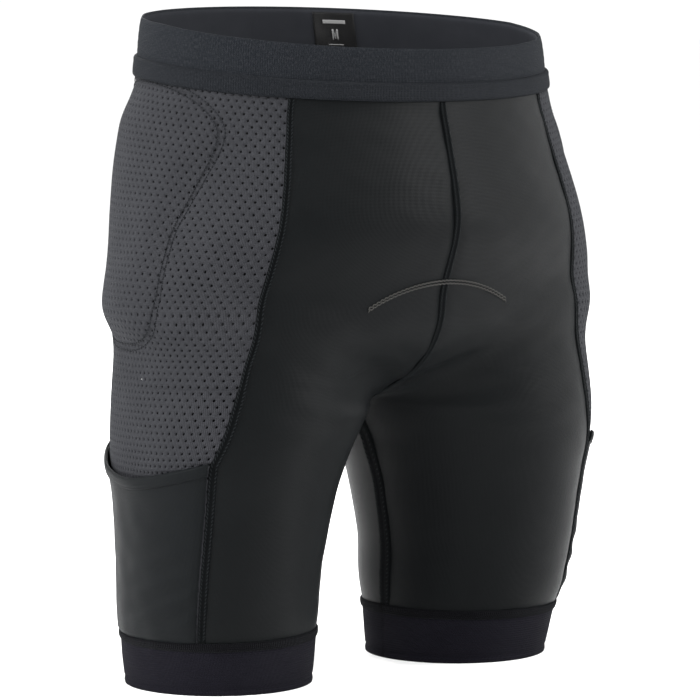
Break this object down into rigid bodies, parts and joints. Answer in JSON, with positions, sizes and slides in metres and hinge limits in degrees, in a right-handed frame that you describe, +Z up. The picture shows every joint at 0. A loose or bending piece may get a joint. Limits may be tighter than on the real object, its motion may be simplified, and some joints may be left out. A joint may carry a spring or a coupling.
{
  "type": "padded impact shorts",
  "caption": "Close-fitting stretch shorts with impact pads over the hips, mesh sides, a sewn-in seat pad, thigh pockets and a wide elastic waistband.",
  "frame": {"origin": "middle of the box at the height of the two hems", "axes": "+Z up to the waist, -Y to the wearer's front, +X to the wearer's left"},
  "size_m": [0.3756, 0.2467, 0.4432],
  "materials": {
    "stretch_panel": "smooth stretch knit, soft satin sheen",
    "side_mesh": "perforated stretch mesh",
    "pocket_fabric": "smooth stretch knit",
    "pocket_hem": "folded edge",
    "leg_elastic": "dense knitted elastic",
    "hem_thread": "overlocked thread",
    "waistband": "heathered jacquard elastic",
    "waistband_strip": "heathered raised elastic",
    "waistband_lining": "brushed knit",
    "label": "woven satin label",
    "pad_stitch": "twin needle stitching",
    "seat_stitch": "grey zigzag stitching",
    "liner": "thin tricot",
    "impact_foam": "orange impact foam",
    "sit_foam": "soft foam under brushed knit",
    "seat_base": "brushed knit over thin foam",
    "seam_thread": "flatlock seam"
  },
  "bodies": {
    "root": {"back_panel_left": "stretch_panel", "back_panel_right": "stretch_panel", "centre_back_seam": "seam_thread", "centre_front_seam": "seam_thread", "front_panel_left": "stretch_panel", "front_panel_right": "stretch_panel", "hem_seam_left": "hem_thread", "hem_seam_right": "hem_thread", "hip_pad_left": "impact_foam", "hip_pad_liner_left": "liner", "hip_pad_liner_right": "liner", "hip_pad_right": "impact_foam", "hip_pad_stitch_left": "pad_stitch", "hip_pad_stitch_right": "pad_stitch", "inseam_left": "seam_thread", "inseam_right": "seam_thread", "leg_band_left": "leg_elastic", "leg_band_right": "leg_elastic", "pocket_hem_left": "pocket_hem", "pocket_hem_right": "pocket_hem", "seat_pad_base": "seat_base", "seat_pad_stitch": "seat_stitch", "side_back_seam_left": "seam_thread", "side_back_seam_right": "seam_thread", "side_front_seam_left": "seam_thread", "side_front_seam_right": "seam_thread", "side_mesh_left": "side_mesh", "side_mesh_right": "side_mesh", "sit_pad_left": "sit_foam", "sit_pad_right": "sit_foam", "size_label": "label", "tail_pad": "impact_foam", "tail_pad_liner": "liner", "tail_pad_stitch": "pad_stitch", "thigh_pocket_left": "pocket_fabric", "thigh_pocket_right": "pocket_fabric", "waistband": "waistband", "waistband_lining": "waistband_lining", "waistband_strip": "waistband_strip"}
  },
  "joints": []
}
